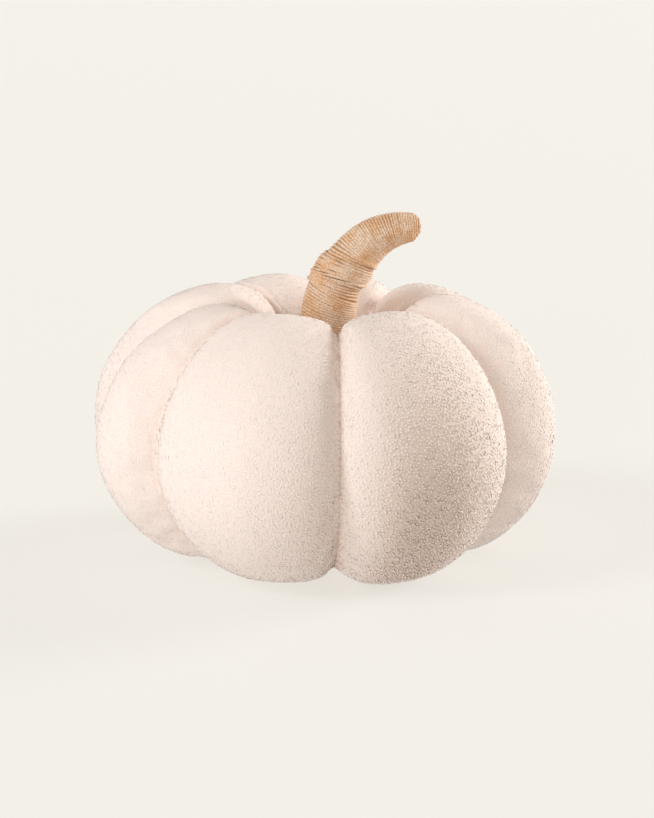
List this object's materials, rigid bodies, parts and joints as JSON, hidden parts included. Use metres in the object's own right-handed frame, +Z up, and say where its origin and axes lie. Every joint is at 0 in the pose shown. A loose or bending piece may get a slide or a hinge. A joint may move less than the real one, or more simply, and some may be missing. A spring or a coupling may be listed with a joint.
{
  "type": "pumpkin-shaped decorative cushion",
  "caption": "Round filled cushion of curled plush, sewn in lobes drawn in at top and bottom, with a curved stem wound with natural twine.",
  "frame": {"origin": "on the surface that the cushion stands on, under the middle of its outline seen from above", "axes": "+Z up through the dimple, -Y towards the front seam, +X to the right, the way the stem leans"},
  "size_m": [0.357, 0.327, 0.2584],
  "materials": {
    "plush": "matte curled pile",
    "twine": "matte natural jute twine"
  },
  "bodies": {
    "root": {"pumpkin_body": "plush", "wound_stem": "twine"}
  },
  "joints": []
}
